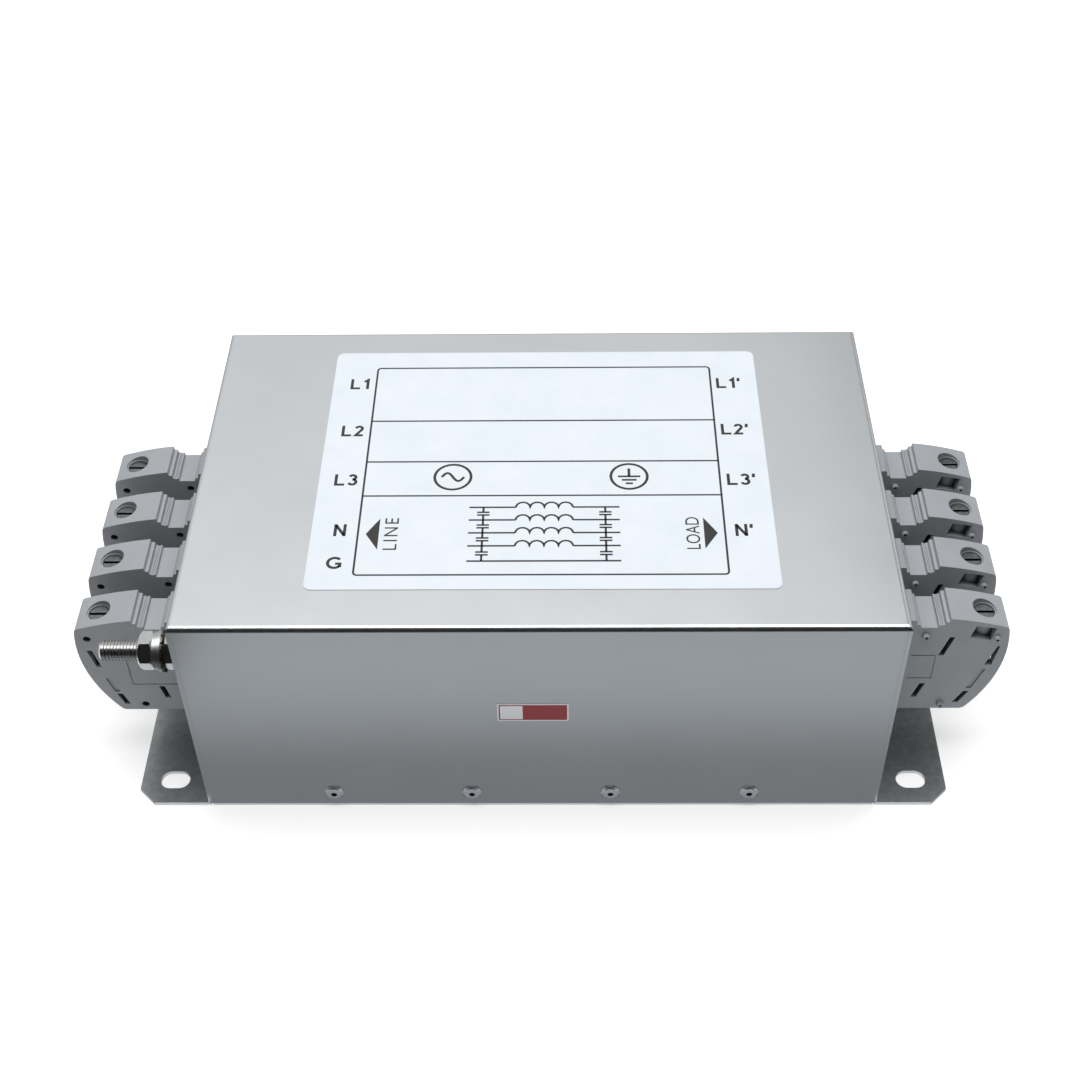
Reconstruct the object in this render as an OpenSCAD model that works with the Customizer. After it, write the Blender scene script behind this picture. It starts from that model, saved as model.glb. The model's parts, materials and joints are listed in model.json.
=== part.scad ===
// Three-phase EMI line filter with neutral, in a folded steel case with feed-through terminal blocks.
// Frame: origin on the ground under the middle of the case, X from line to load, Y to the rear, Z up.
// All lengths are in millimetres.

/* [Case] */
// Length of the case over its end walls
case_w = 270; // [262:1:290]
// Depth of the case over its front and rear panels
case_d = 173; // [170:1:200]
// Height of the case
case_h = 106.5; // [104:0.5:120]
// Thickness of the folded sheet
sheet_t = 1.5; // [1.2:0.1:1.8]
// Inner radius of the bends
bend_r = 0.5; // [0.3:0.1:1.5]
// Open slit between the front or rear panel and an end wall
seam_gap = 0.25; // [0.1:0.05:0.5]
// Radius at the lower corners of the front and rear panels
panel_corner_r = 1; // [0.5:0.5:3]

/* [Mounting flanges] */
// How far a flange reaches out from its end wall
flange_out = 29.2; // [27:0.1:36]
// Chamfer at a flange's outer corners
flange_chamfer = 7; // [3:0.5:9]
// Distance of the slots from the end wall
slot_out = 15.5; // [13:0.5:17]
// Distance of the slots from the front and rear faces
slot_in = 11.5; // [9:0.5:14]
// Width of a slot
slot_w = 8.5; // [6:0.5:10]
// Length of a slot, end to end
slot_l = 12; // [11:0.5:16]

/* [Base tray] */
// Height of the tray's front and rear lips
tray_lip_h = 17; // [15:1:25]
// Clearance of parts that are pushed together
fit = 0.1; // [0.05:0.05:0.15]
// Height of the rivets
rivet_z = 8.6; // [8:0.1:10]
// Spacing of the rivets
rivet_pitch = 55.5; // [40:0.5:60]
// Diameter of a rivet's shank
rivet_d = 4; // [3.2:0.1:4.8]
// Diameter of a rivet's head
rivet_head_d = 8; // [7:0.1:9]
// Height of a rivet's head
rivet_head_h = 1.3; // [1:0.1:1.6]
// Diameter of a rivet's set tail
rivet_tail_d = 6.2; // [5:0.1:6.8]
// Length of a rivet's set tail
rivet_tail_l = 4; // [3:0.1:4.5]

/* [Rating label] */
// Length of the label
label_w = 177; // [120:1:200]
// Depth of the label
label_d = 139; // [90:1:150]
// Thickness of the label
label_t = 0.2; // [0.1:0.1:0.4]
// Radius of the label's corners
label_r = 3; // [1:0.5:6]

/* [Terminal blocks] */
// Spacing of the blocks along an end wall
block_pitch = 28; // [24:0.5:30]
// Shift of the row of blocks towards the front
row_shift = 9; // [6:0.5:10]
// Height of the blocks' underside
block_z = 28; // [24:0.5:30]
// Width of a block
block_w = 16.5; // [16:0.1:18]
// Height of a block
block_h = 53.2; // [50:0.2:56]
// Reach of a block from the end wall
block_l = 46.2; // [44:0.2:50]
// Distance of the clamp screws from a block's outermost point
screw_in = 9.7; // [9.5:0.1:12]
// Length of the raised collar against the wall
collar_l = 9.3; // [8:0.1:9.5]
// Radius of the outer end
nose_r = 61; // [50:1:80]
// Depth of the widest point below the top
nose_drop = 17.4; // [14:0.2:20]
// Radius of the crown on top
crown_r = 110; // [80:5:160]
// Diameter of the screw hole in the crown
screw_hole_d = 9.6; // [8.8:0.1:10]
// Depth of the step in the screw hole
screw_step = 1.8; // [1:0.1:4]
// Diameter of the screw shaft under its step
shaft_d = 8.4; // [7.8:0.1:8.6]
// Diameter of the wire entry
wire_entry_d = 11; // [9:0.5:11]
// Diameter of the registration pegs
peg_d = 2.8; // [2.4:0.1:3]
// Length of the registration pegs
peg_l = 1.8; // [1:0.1:2.5]

/* [Clamps and bars] */
// Outer length of a clamp cage along the bar
cage_l = 12; // [10:0.5:12]
// How far a clamp cage reaches outwards from the axis of its screw
cage_out = 4.4; // [4:0.1:5]
// Outer width of a clamp cage
cage_w = 13.4; // [12.8:0.1:13.5]
// Outer height of a clamp cage
cage_h = 21.5; // [20:0.5:22]
// Wall of a clamp cage
cage_t = 1.8; // [1.4:0.1:1.8]
// Thickness of a clamp cage's threaded top
cage_top_t = 3.5; // [3:0.1:4]
// Depth of the clamp cages below the top of the blocks
cage_drop = 13.2; // [11.5:0.1:14]
// Width of a current bar
bar_w = 9.4; // [8:0.2:9.4]
// Thickness of a current bar
bar_t = 3; // [2:0.2:3]
// Length of bar inside the case
bar_in = 31; // [28:0.5:32]
// Thread diameter of a clamp screw
clamp_screw_d = 6; // [5:0.5:6]
// Head diameter of a clamp screw
clamp_head_d = 7.8; // [7:0.1:8]
// Head height of a clamp screw
clamp_head_h = 8; // [4:0.5:9]

/* [Ground stud] */
// Distance of the stud from the front face
stud_in = 12.5; // [11:0.5:13]
// Height of the stud
stud_z = 81; // [78:0.5:84]
// Thickness of the stud's head inside the case
stud_head_t = 5.3; // [4:0.1:6]
// Thread diameter of the stud
stud_d = 8; // [8:1:8]
// Pitch diameter of the thread, at which the stud fills its nuts
stud_pitch_d = 7.19; // [7.19:0.01:7.19]
// Reach of the stud from the end wall
stud_out = 30.5; // [26:0.5:40]
// Width across the flats of the nuts
nut_af = 13; // [12:0.5:13]
// Thickness of the nuts
nut_t = 5.6; // [5:0.1:6.8]
// Diameter of the toothed washer
tooth_washer_d = 16.6; // [14:0.2:17]
// Thickness of the toothed washer
tooth_washer_t = 0.8; // [0.6:0.1:1]
// Diameter of the flat washer
flat_washer_d = 16; // [14:0.2:17]
// Thickness of the flat washer
flat_washer_t = 1.4; // [1:0.1:1.6]
// Diameter of the spring washer
spring_washer_d = 14.8; // [13:0.2:15]
// Thickness of the spring washer
spring_washer_t = 1.8; // [1.4:0.1:2]

/* [Chokes] */
// Distance of each choke from the middle of the case
choke_x = 50; // [48:0.5:52]
// Outer diameter of a core
core_od = 80; // [78:0.5:82]
// Bore of a core
core_id = 46.8; // [46:0.2:48]
// Width of a core
core_w = 34; // [30:0.5:35]
// Diameter of the winding wire
wire_d = 6; // [5:0.1:6]
// Gap between wire and core
wire_gap = 0.4; // [0.3:0.05:0.5]
// Passes of each winding through the core
passes = 4; // [2:1:4]
// Angle between neighbouring passes
pass_step = 18.3; // [18.2:0.1:19]
// Bend radius of the wire, on its centre line
wire_bend = 4.5; // [4:0.1:5]
// Outer diameter of a splice sleeve
sleeve_d = 9.2; // [8:0.1:9.6]
// Length of a splice sleeve
sleeve_l = 20; // [14:1:24]
// Width of the cradles and pads that hold the cores
cradle_w = 15; // [12:0.5:16]

/* [Capacitor boards] */
// Length of a board
board_l = 236; // [232:1:244]
// Width of a board
board_w = 24; // [22:0.5:24]
// Thickness of a board
board_t = 1.6; // [1:0.1:2]
// Clearance between the tails of the rivets and the boards above them
board_gap = 0.8; // [0.5:0.1:2]
// Length of a line-to-neutral capacitor
xcap_l = 41.5; // [32:0.5:42]
// Thickness of a line-to-neutral capacitor
xcap_w = 20; // [15:0.5:20]
// Height of a line-to-neutral capacitor
xcap_h = 34; // [26:0.5:36]
// Spacing of the line-to-neutral capacitors
xcap_pitch = 50; // [44:0.5:52]
// Diameter of the wires from the boards to the bars
lead_d = 2; // [1.5:0.1:2.4]

/* [Hidden] */
STEEL = "#b9bdc0";
PLATED = "#c9c7c0";
MOULDED = "#a4a8ac";
COPPER = "#b8714a";
ENAMEL = "#8a3f22";
BOARD = "#2f6b45";
CAPACITOR = "#d8b23c";

LINE = -1;
LOAD = 1;
eps = 0.01;
half_w = case_w / 2;
half_d = case_d / 2;
inner_d = half_d - sheet_t;
slot_x = half_w + slot_out;
slot_y = half_d - slot_in;
top_inside = case_h - sheet_t;
label_x = 1.5;
label_y = 2.5;
rivet_count = 4;

// The rear block carries the first phase, and the neutral is nearest the front.
function phase_y(k) = (1.5 - k) * block_pitch - row_shift;

// Heights inside a block, from its underside.
cage_top = block_h - cage_drop;
cage_z = cage_top - cage_h;
bar_play = 1.5;
bar_z = cage_top - cage_top_t - bar_play - bar_t;
neck_z = block_h - 4.9;
ridge_z = block_h - 3.4;
step_z = block_h - 1.7;
collar_z = block_h - 0.9;
bead_l = 1.4;
bead_z = neck_z + 1.6;
neck_x = collar_l + bead_l;
ridge_x = neck_x + 7;
step_x = ridge_x + 2.6;
crown_x = step_x + 1.8;
screw_x = block_l - screw_in;
spigot_w = block_w - 4.5;
spigot_h = 24;
spigot_l = 12;
spigot_z = bar_z + bar_t / 2 - spigot_h / 2;
cage_gap = 0.2;
cage_x = screw_x + cage_out - cage_l;
bar_out = screw_x + cage_out - 1;
wire_z = (cage_z + cage_t + bar_z) / 2;

// Ground stud stack, outwards from the wall.
tooth_x = nut_t;
flat_x = tooth_x + tooth_washer_t;
spring_x = flat_x + flat_washer_t;
ground_nut_x = spring_x + spring_washer_t;
stud_y = -(half_d - stud_in);
nut_turn = -22;
split_turn = 130;

// Choke geometry, about the core's centre.
choke_z = case_h / 2;
choke_y = -row_shift;
core_r = core_od / 2;
wire_r = wire_d / 2;
inner_r = core_id / 2 - wire_gap - wire_r;
outer_r = core_r + wire_gap + wire_r;
face_x = core_w / 2 + wire_gap + wire_r;
pass_edge = 45 - pass_step * (passes - 1) / 2;
wire_rest = 0.05;
lead_lap = 18.5;
lead_run = 15.5;

// Capacitor boards and their wires.
board_z = rivet_z + rivet_tail_d / 2 + board_gap;
board_top = board_z + board_t;
post_h = board_z - sheet_t;
post_in_x = 15;
post_in_y = 5;
board_edge = inner_d - fit - sheet_t - 1;
board_y = board_edge - board_w / 2;
tap_x = half_w - bar_in + 8;
bar_under = block_z + bar_z;

// ---- helpers ----------------------------------------------------------------------------------

function unit(v) = v / norm(v);
function arc(centre, r, from, to, n) =
    [for (i = [0:n]) let (a = from + (to - from) * i / n) centre + r * [cos(a), sin(a)]];

// What a corner loses when it is rounded: drawn towards -X and -Y from the centre of the round.
module corner_waste(r) {
    difference() {
        translate([-r - 1, -r - 1]) square(r + 1);
        circle(r, $fn = 64);
    }
}

// Rectangle on the X axis with its two upper corners rounded.
module round_top(w, h, r) {
    difference() {
        translate([-w / 2, 0]) square([w, h]);
        for (s = [-1, 1]) translate([s * (w / 2 - r), h - r]) scale([-s, -1]) corner_waste(r);
    }
}

// Section of a sheet folded down at both ends, seen as its outside width and height.
module folded(w, h) {
    difference() {
        round_top(w, h, bend_r + sheet_t);
        translate([0, -1]) round_top(w - 2 * sheet_t, h - sheet_t + 1, bend_r);
    }
}

function rounded_points(w, d, r) = [
    each arc([w / 2 - r, d / 2 - r], r, 0, 90, 6),
    each arc([r - w / 2, d / 2 - r], r, 90, 180, 6),
    each arc([r - w / 2, r - d / 2], r, 180, 270, 6),
    each arc([w / 2 - r, r - d / 2], r, 270, 360, 6)
];

// Stands a section drawn in X and Z upright and gives it a depth along Y, about the middle.
module along_y(depth) {
    rotate([90, 0, 0]) linear_extrude(height = depth, center = true) children();
}

// Turns a section drawn in Y and Z so that it runs along X, about the middle.
module along_x(depth) {
    rotate([90, 0, 90]) linear_extrude(height = depth, center = true) children();
}

module x_cylinder(d, l, centred = false) {
    rotate([0, 90, 0]) cylinder(d = d, h = l, center = centred, $fn = 64);
}

module y_cylinder(d, l) {
    rotate([-90, 0, 0]) cylinder(d = d, h = l, $fn = 48);
}

// Places a frame whose X and Z axes point along the given directions.
module frame_at(origin, x_axis, z_axis) {
    y_axis = cross(z_axis, x_axis);
    multmatrix([
        [x_axis.x, y_axis.x, z_axis.x, origin.x],
        [x_axis.y, y_axis.y, z_axis.y, origin.y],
        [x_axis.z, y_axis.z, z_axis.z, origin.z],
        [0, 0, 0, 1]
    ]) children();
}

function any_normal(d) = unit(cross(d, abs(d.z) < 0.9 ? [0, 0, 1] : [1, 0, 0]));
function corner_back(path, i, bend) =
    i == 0 || i == len(path) - 1 ? 0
    : let (a = unit(path[i - 1] - path[i]), b = unit(path[i + 1] - path[i]))
        bend / tan(acos(a * b) / 2);

// Round wire bent along a path: straight rods between the bends and a torus piece at each bend.
// The rods are a hair thinner than the bends and reach into them, so that the two join cleanly.
module bent_wire(path, d, bend) {
    hair = 0.02;
    for (i = [0:len(path) - 2]) {
        along = unit(path[i + 1] - path[i]);
        lap = 2 * hair;
        start = path[i] + along * (i == 0 ? 0 : corner_back(path, i, bend) - lap);
        end = path[i + 1] - along * (i == len(path) - 2 ? 0 : corner_back(path, i + 1, bend) - lap);
        frame_at(start, any_normal(along), along)
            cylinder(d = d - hair, h = norm(end - start), $fn = 48);
    }
    for (i = [1:len(path) - 2]) {
        a = unit(path[i - 1] - path[i]);
        b = unit(path[i + 1] - path[i]);
        half = acos(a * b) / 2;
        centre = path[i] + unit(a + b) * bend / sin(half);
        from = unit(path[i] + a * bend / tan(half) - centre);
        to = unit(path[i] + b * bend / tan(half) - centre);
        frame_at(centre, from, unit(cross(from, to)))
            rotate_extrude(angle = 180 - 2 * half, $fn = 96)
                translate([bend, 0]) circle(d = d, $fn = 48);
    }
}

// ---- case --------------------------------------------------------------------------------------

// Section across the end walls: the top, the two walls and the flanges at their feet.
module end_section() {
    difference() {
        union() {
            folded(case_w, case_h);
            for (s = [-1, 1]) scale([s, 1]) {
                translate([half_w - sheet_t, 0]) square([flange_out + sheet_t, sheet_t]);
                translate([half_w - eps, sheet_t - eps]) square(bend_r + eps);
            }
        }
        for (s = [-1, 1]) scale([s, 1]) translate([half_w + bend_r, sheet_t + bend_r]) {
            circle(bend_r, $fn = 64);
            corner_waste(bend_r + sheet_t);
        }
    }
}

// The front and rear panels stand between the end walls.
module panels() {
    w = case_w - 2 * (sheet_t + seam_gap);
    intersection() {
        along_x(w) folded(case_d, case_h);
        along_y(case_d) difference() {
            round_top(case_w, case_h, bend_r + sheet_t);
            for (s = [-1, 1]) translate([s * (w / 2 - panel_corner_r), panel_corner_r])
                scale([-s, 1]) corner_waste(panel_corner_r);
        }
    }
}

module flange_cuts() {
    foot = half_w + flange_out;
    for (sx = [-1, 1], sy = [-1, 1]) quarter(sx, sy) {
        flange_slot();
        translate([foot, half_d, -eps]) linear_extrude(height = sheet_t + 2 * eps)
            polygon([
                [-flange_chamfer, eps], [eps, -flange_chamfer], [eps, eps]
            ]);
    }
}

// Mirrors what is drawn at the front right so that it lies in one of the four quarters.
module quarter(sx, sy) {
    mirror([sx < 0 ? 1 : 0, 0, 0]) mirror([0, sy < 0 ? 1 : 0, 0]) children();
}

// A slot with round ends, long along X.
module flange_slot() {
    run = slot_l - slot_w;
    translate([slot_x, slot_y, -eps]) {
        for (s = [-1, 1]) translate([s * run / 2, 0, 0])
            cylinder(d = slot_w, h = sheet_t + 2 * eps, $fn = 64);
        translate([-run / 2, -slot_w / 2, 0]) cube([run, slot_w, sheet_t + 2 * eps]);
    }
}

module rivet_places() {
    for (s = [-1, 1], i = [0:rivet_count - 1])
        translate([(i - (rivet_count - 1) / 2) * rivet_pitch, s * half_d, rivet_z])
            rotate([s < 0 ? 90 : -90, 0, 0]) children();
}

module rivet_holes() {
    depth = 2 * sheet_t + 1;
    rivet_places() translate([0, 0, -depth]) cylinder(d = rivet_d + fit, h = depth + 1, $fn = 48);
}

// Cut-outs that the blocks' spigots pass through, and the hole of the ground stud.
module end_openings() {
    for (side = [LINE, LOAD], k = [0:3]) block_place(side, k)
        translate([-sheet_t - 1, -spigot_w / 2 - fit, spigot_z - fit])
            cube([sheet_t + 1.5, spigot_w + 2 * fit, spigot_h + 2 * fit]);
    translate([-half_w - 1, stud_y, stud_z]) x_cylinder(stud_d + 4 * fit, sheet_t + 2);
}

module case_cover() {
    color(STEEL) difference() {
        union() {
            intersection() {
                along_y(case_d) end_section();
                along_x(case_w + 2 * flange_out) round_top(case_d, case_h, bend_r + sheet_t);
            }
            panels();
        }
        flange_cuts();
        rivet_holes();
        end_openings();
    }
}

module base_tray() {
    color(STEEL) difference() {
        along_x(case_w - 2 * sheet_t - 4 * fit) translate([0, tray_lip_h])
            mirror([0, 1]) folded(2 * (inner_d - fit), tray_lip_h);
        rivet_holes();
    }
}

// A blind rivet set from outside: domed head with the mandrel's hole, shank and bulged tail.
module blind_rivet() {
    shank = rivet_d / 2;
    head = rivet_head_d / 2;
    tail = rivet_tail_d / 2;
    grip = 2 * sheet_t + fit;
    rotate_extrude($fn = 48) polygon([
        [0, -grip - rivet_tail_l], [tail - 0.5, -grip - rivet_tail_l],
        [tail, -grip - 0.8 * rivet_tail_l], [tail, -grip - 0.25 * rivet_tail_l],
        [shank, -grip], [shank, 0], [head, 0], [head, 0.35],
        [head - 0.9, rivet_head_h - 0.25], [shank, rivet_head_h],
        [shank - 0.8, rivet_head_h], [shank - 0.8, 0.5], [0, 0.5]
    ]);
}

module tray_rivets() {
    color(PLATED) rivet_places() blind_rivet();
}

module rating_label() {
    color("#edf4fb") translate([label_x, label_y, case_h])
        linear_extrude(height = label_t) polygon(rounded_points(label_w, label_d, label_r));
}

// ---- terminal blocks -----------------------------------------------------------------------------

// A block's own frame: X outwards from the wall, Z up from the block's underside.
module block_place(side, k) {
    translate([side * half_w, phase_y(k), block_z]) rotate([0, 0, side < 0 ? 180 : 0]) children();
}

// Where two circles cross, on the side of larger x.
function crossing(a, ra, b, rb) =
    let (
        d = norm(b - a), u = (b - a) / d,
        h = (ra * ra - rb * rb + d * d) / (2 * d),
        k = sqrt(ra * ra - h * h)
    ) a + u * h + k * [-u.y, u.x] * sign(-u.y);
function angle_to(a, b) = atan2(b.y - a.y, b.x - a.x);

nose_at = [block_l - nose_r, block_h - nose_drop];
crown_dx = crown_x - 9.5;
crown_at = [9.5, block_h - sqrt(crown_r * crown_r - crown_dx * crown_dx)];
crown_fall = block_h - crown_at.y
    - sqrt(crown_r * crown_r - pow(screw_x - crown_at.x, 2));
heel_r = 2.5;
brow_r = 2.2;
heel_at = [
    nose_at.x + sqrt((nose_r - heel_r) * (nose_r - heel_r) - pow(nose_at.y - heel_r, 2)), heel_r
];
brow_at = crossing(nose_at, nose_r - brow_r, crown_at, crown_r - brow_r);

// Side view of a block outside the collar: sole, round nose, crown, ridges and neck.
module block_outline() {
    heel_a = angle_to(nose_at, heel_at);
    brow_a = angle_to(nose_at, brow_at);
    brow_end = angle_to(crown_at, brow_at);
    polygon([
        [neck_x, 0],
        each arc(heel_at, heel_r, -90, heel_a, 5),
        each arc(nose_at, nose_r, heel_a, brow_a, 18),
        each arc(brow_at, brow_r, brow_a, brow_end, 6),
        each arc(crown_at, crown_r, brow_end, angle_to(crown_at, [crown_x, block_h]), 8),
        [crown_x - 0.3, step_z], [step_x + 0.2, step_z - 0.1], [step_x, ridge_z],
        [step_x - 0.8, ridge_z], [step_x - 1.1, ridge_z - 0.4], [step_x - 1.6, ridge_z - 0.4],
        [step_x - 1.9, ridge_z], [ridge_x + 0.2, ridge_z - 0.1], [ridge_x, neck_z],
        [neck_x, neck_z]
    ]);
}

peg_spots = [
    [block_l - 5.2, block_h - 10.4], [neck_x + 2.9, block_h - 9.2], [neck_x + 14.4, 3.4]
];

// A slanted slot in a side face: from and to are its ends, a and b its widths there.
module side_slot(from, to, a, b, depth) {
    along_y_from(depth) polygon([
        from + [-a / 2, 0], to + [-b / 2, 0], to + [b / 2, 0], from + [a / 2, 0]
    ]);
}

// Sinks a section in X and Z into the +Y side face.
module along_y_from(depth) {
    translate([0, block_w / 2 - depth, 0]) mirror([0, 1, 0]) rotate([90, 0, 0])
        linear_extrude(height = depth + 1) children();
}

// Thin groove around a rectangle that runs up to the collar.
module panel_groove(x, low, high) {
    along_y_from(0.25) difference() {
        translate([neck_x - 1, low]) square([x - neck_x + 1, high - low]);
        translate([neck_x - 2, low + 0.5]) square([x - neck_x + 1.5, high - low - 1]);
    }
}

function nose_x(z) = nose_at.x + sqrt(nose_r * nose_r - pow(z - nose_at.y, 2));

// Slots that run beside the round nose: top and low are their ends as height and inset from it.
module nose_slot(top, low, a, b, depth) {
    side_slot([nose_x(low.x) - low.y, low.x], [nose_x(top.x) - top.y, top.x], b, a, depth);
}

// Depths of the core-outs in a side face, by what lies behind them.
shallow = 0.5;
beside_bar = 3.2;
deep = 6.5;

module peg_side_cuts() {
    mirror([0, 1, 0]) {
        side_slot([crown_x - 1, 32.2], [crown_x + 2, 42.8], 2.1, 2.1, beside_bar);
        side_slot([neck_x + 3.2, 7], [neck_x + 5.8, 15.4], 2.2, 2.2, deep);
        nose_slot([37.6, 3.4], [26.6, 5.2], 0.8, 2.8, beside_bar);
        nose_slot([24, 6.2], [12.4, 6.6], 2.1, 2.1, shallow);
        nose_slot([10.6, 6.2], [3.6, 6], 2.2, 2.2, deep);
        panel_groove(neck_x + 8.7, 18.5, 32.5);
        window_pocket();
    }
}

// Pocket under the crown that shows the round wall of the screw shaft.
module window_pocket() {
    top = block_h - 4;
    difference() {
        along_y_from(3.6) polygon([
            [screw_x - 5.8, top - 6.6], [screw_x + 2.4, top - 8.2],
            [screw_x + 3.8, top - 1.4], [screw_x - 4.2, top]
        ]);
        translate([screw_x, 0, 0]) cylinder(d = shaft_d + 3, h = block_h, $fn = 64);
    }
}

module hole_side_cuts() {
    for (p = peg_spots) translate([p.x, block_w / 2 - 2.4, p.y]) y_cylinder(peg_d + 2 * fit, 3);
    nose_slot([36, 4.7], [26.2, 6], 2.1, 2.1, beside_bar);
    nose_slot([19.4, 6.8], [11.2, 6], 2.2, 2.2, shallow);
    nose_slot([9.8, 5.9], [3.4, 4.6], 2.2, 2.2, deep);
    side_slot([neck_x + 4.4, 7.2], [neck_x + 6, 14.4], 2.2, 2.2, deep);
    panel_groove(neck_x + 17.4, 15.5, 31);
}

// Space for the clamp cage, the screw and the bar, and the funnel for the wire.
module block_bores() {
    translate([cage_x - cage_gap, -cage_w / 2 - cage_gap, cage_z - cage_gap])
        cube([cage_l + 2 * cage_gap, cage_w + 2 * cage_gap, cage_h + 2 * cage_gap]);
    translate([screw_x, 0, cage_top]) cylinder(d = shaft_d, h = block_h, $fn = 64);
    translate([screw_x, 0, block_h - crown_fall - screw_step])
        cylinder(d = screw_hole_d, h = block_h, $fn = 64);
    translate([screw_x, 0, wire_z]) x_cylinder(wire_entry_d, block_l);
    translate([block_l - 3.2, 0, wire_z]) rotate([0, 90, 0])
        cylinder(d1 = wire_entry_d, d2 = wire_entry_d + 4, h = 4, $fn = 64);
    translate([-spigot_l - sheet_t - 1, -bar_w / 2 - fit, bar_z - fit])
        cube([screw_x + spigot_l + sheet_t, bar_w + 2 * fit, bar_t + 2 * fit]);
}

// The spigot passes through the wall and ends in two snap ridges behind the sheet.
module spigot() {
    ridge = 0.9;
    ramp = 5;
    root = 1;
    behind = -sheet_t - fit;
    translate([-spigot_l, -spigot_w / 2, spigot_z]) cube([spigot_l + 1, spigot_w, spigot_h]);
    for (up = [0, 1]) translate([0, 0, spigot_z + up * spigot_h]) mirror([0, 0, up])
        along_y(spigot_w - 2 * root) polygon([
            [behind, root], [behind, -ridge], [behind - root, -ridge],
            [behind - ramp, 0], [behind - ramp, root]
        ]);
}

module housing() {
    color(MOULDED) difference() {
        union() {
            along_y(block_w) block_outline();
            along_y(block_w) polygon([
                [0, 0], [neck_x + 1, 0], [neck_x + 1, neck_z - 1], [neck_x, bead_z - 0.3],
                [neck_x - 0.3, bead_z], [collar_l + 0.2, bead_z], [collar_l, collar_z - 0.4],
                [collar_l - 0.4, collar_z], [0, collar_z]
            ]);
            spigot();
            for (p = peg_spots) translate([p.x, -block_w / 2 - peg_l, p.y])
                y_cylinder(peg_d, peg_l + 1);
        }
        block_bores();
        peg_side_cuts();
        hole_side_cuts();
        for (p = peg_spots) translate([p.x, -block_w / 2 - peg_l - 1, p.y]) y_cylinder(1.2, 2.4);
    }
}

module clamp_cage() {
    color(PLATED) translate([cage_x, -cage_w / 2, cage_z]) difference() {
        cube([cage_l, cage_w, cage_h]);
        translate([-1, cage_t, cage_t])
            cube([cage_l + 2, cage_w - 2 * cage_t, cage_h - cage_t - cage_top_t]);
        translate([cage_l - cage_out, cage_w / 2, cage_h / 2])
            cylinder(d = clamp_screw_d + fit, h = cage_h, $fn = 48);
    }
}

module current_bar() {
    color(COPPER) translate([-bar_in, -bar_w / 2, bar_z])
        cube([bar_in + bar_out, bar_w, bar_t]);
}

// Slotted screw whose tip presses on the bar.
module clamp_screw() {
    head_z = cage_top + 2 * cage_gap;
    slot_t = 1.2;
    slot_deep = 2;
    tip = bar_z + bar_t + wire_rest;
    translate([screw_x, 0, 0]) difference() {
        union() {
            translate([0, 0, tip]) cylinder(d = clamp_screw_d, h = head_z - tip + 1, $fn = 48);
            translate([0, 0, head_z]) cylinder(d = clamp_head_d, h = clamp_head_h, $fn = 48);
        }
        translate([-clamp_head_d, -slot_t / 2, head_z + clamp_head_h - slot_deep])
            cube([2 * clamp_head_d, slot_t, slot_deep + 1]);
    }
}

module clamp_screws() {
    color(PLATED) for (side = [LINE, LOAD], k = [0:3]) block_place(side, k) clamp_screw();
}

// ---- ground stud ---------------------------------------------------------------------------------

// Frame of the stud: Z outwards from the line end wall.
module stud_place() {
    translate([-half_w, stud_y, stud_z]) rotate([0, -90, 0]) children();
}

module hexagon(af, h) {
    cylinder(d = af / cos(30), h = h, $fn = 6);
}

// Hexagon with the corners of both faces turned down.
module nut_body(af, h) {
    corner = af / cos(30) / 2 + 0.1;
    face = af / 2 - 0.2;
    turned = 1.1;
    intersection() {
        hexagon(af, h);
        rotate_extrude($fn = 64) polygon([
            [0, 0], [face, 0], [corner, turned], [corner, h - turned], [face, h], [0, h]
        ]);
    }
}

// The free end is drawn at the thread's outer diameter, as a cable lug meets it. From the ground
// nut inwards the stud is drawn at the thread's pitch diameter, where it and its nuts engage.
module ground_stud() {
    free_z = ground_nut_x + nut_t;
    free = stud_d / 2;
    core = stud_pitch_d / 2;
    tip = 0.9;
    color(PLATED) stud_place() {
        translate([0, 0, -sheet_t - stud_head_t]) hexagon(nut_af, stud_head_t);
        rotate_extrude($fn = 64) polygon([
            [0, -sheet_t - 1], [core, -sheet_t - 1], [core, free_z], [free, free_z],
            [free, stud_out - tip], [free - tip, stud_out], [0, stud_out]
        ]);
    }
}

module stud_nut(at, turn) {
    stud_place() translate([0, 0, at]) rotate([0, 0, turn]) difference() {
        nut_body(nut_af, nut_t);
        translate([0, 0, -1]) cylinder(d = stud_pitch_d + fit, h = nut_t + 2, $fn = 64);
    }
}

module stud_washer(at, d, t) {
    stud_place() translate([0, 0, at]) difference() {
        cylinder(d = d, h = t, $fn = 64);
        translate([0, 0, -1]) cylinder(d = stud_d + 2 * fit, h = t + 2, $fn = 64);
        children();
    }
}

module stud_lock_nut() {
    color(PLATED) stud_nut(0, nut_turn);
}

module tooth_washer() {
    teeth = 16;
    color("#8b8b88") stud_washer(tooth_x, tooth_washer_d, tooth_washer_t)
        for (i = [0:teeth - 1]) rotate([0, 0, i * 360 / teeth])
            translate([tooth_washer_d / 2 - 1.6, -0.4, -1]) cube([3, 0.8, 3]);
}

module flat_washer() {
    color(PLATED) stud_washer(flat_x, flat_washer_d, flat_washer_t);
}

module spring_washer() {
    color(PLATED) stud_washer(spring_x, spring_washer_d, spring_washer_t)
        rotate([0, 0, split_turn]) translate([stud_d / 4, -0.5, -1])
            rotate([20, 0, 0]) cube([stud_d, 1, 5]);
}

module ground_nut() {
    color(PLATED) stud_nut(ground_nut_x, nut_turn);
}

// ---- chokes --------------------------------------------------------------------------------------

module choke_place(side) {
    translate([side * choke_x, choke_y, choke_z]) children();
}

module choke_core() {
    r = 2;
    color("#2e3136") rotate([0, 90, 0]) rotate_extrude($fn = 128)
        translate([(core_r + core_id / 2) / 2, 0])
            polygon(rounded_points(core_r - core_id / 2, core_w, r));
}

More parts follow.
